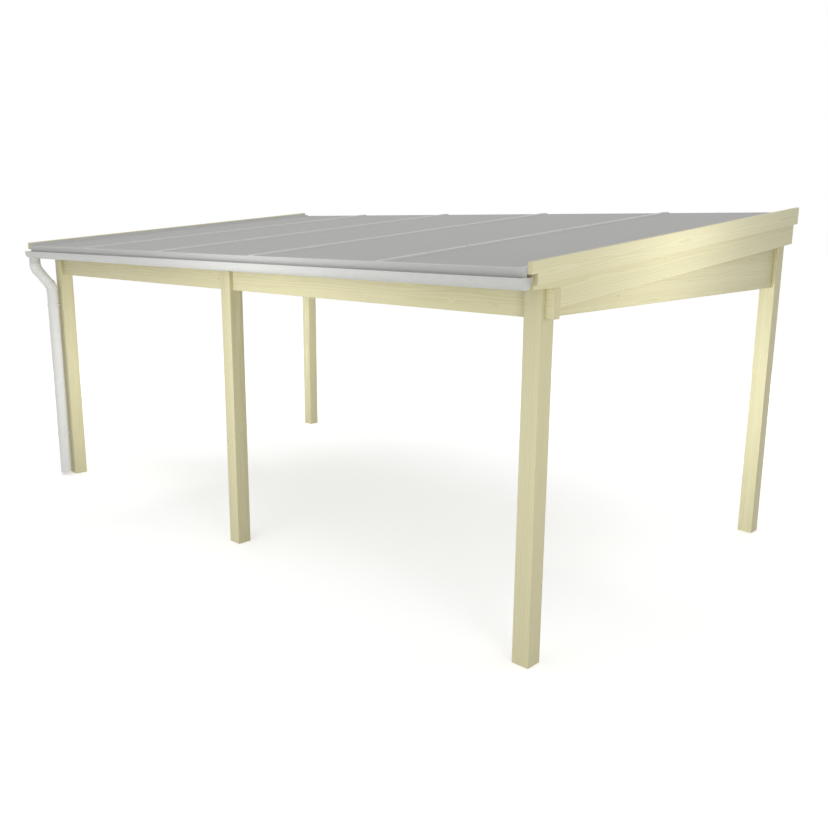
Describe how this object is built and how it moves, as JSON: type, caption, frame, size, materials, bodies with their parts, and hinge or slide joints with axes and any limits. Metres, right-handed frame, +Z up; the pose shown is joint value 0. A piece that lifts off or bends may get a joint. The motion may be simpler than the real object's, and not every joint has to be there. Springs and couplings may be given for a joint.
{
  "type": "veranda frame",
  "caption": "Open timber veranda with a lean-to roof of translucent sheets on glazing bars, slotted posts, a gutter along the low edge and a downpipe.",
  "frame": {"origin": "on the ground, at the middle of the plan's box", "axes": "+X to the right along the front, +Y to the high back edge, +Z up"},
  "size_m": [5.858, 3.5192, 2.6203],
  "materials": {
    "timber": "planed glulam, untreated",
    "sheet": "translucent opal grey",
    "bar": "light grey powder coat, matt",
    "gutter": "light grey, satin",
    "pipe": "light grey, satin"
  },
  "bodies": {
    "root": {"post_front_left": "timber", "post_front_middle": "timber", "post_front_right": "timber", "post_back_left": "timber", "post_back_right": "timber", "beam_front": "timber", "beam_back": "timber", "beam_left": "timber", "beam_right": "timber", "rafter_edge_left": "timber", "rafter_outer_left": "timber", "rafter_inner_left": "timber", "rafter_inner_right": "timber", "rafter_outer_right": "timber", "rafter_edge_right": "timber", "bargeboard_left": "timber", "bargeboard_right": "timber", "roof_sheet_far_left": "sheet", "roof_sheet_left": "sheet", "roof_sheet_middle": "sheet", "roof_sheet_right": "sheet", "roof_sheet_far_right": "sheet", "glazing_bar_outer_left": "bar", "glazing_bar_inner_left": "bar", "glazing_bar_inner_right": "bar", "glazing_bar_outer_right": "bar", "edge_bar_left": "bar", "edge_bar_right": "bar", "sheet_trims_front": "bar", "sheet_trims_back": "bar", "eaves_apron": "bar", "gutter": "gutter", "gutter_cap_left": "gutter", "gutter_cap_right": "gutter", "gutter_straps": "gutter", "gutter_outlet": "gutter", "elbow_upper": "pipe", "offset_pipe": "pipe", "elbow_lower": "pipe", "downpipe": "pipe", "pipe_clip_lower": "pipe", "pipe_clip_upper": "pipe"}
  },
  "joints": []
}
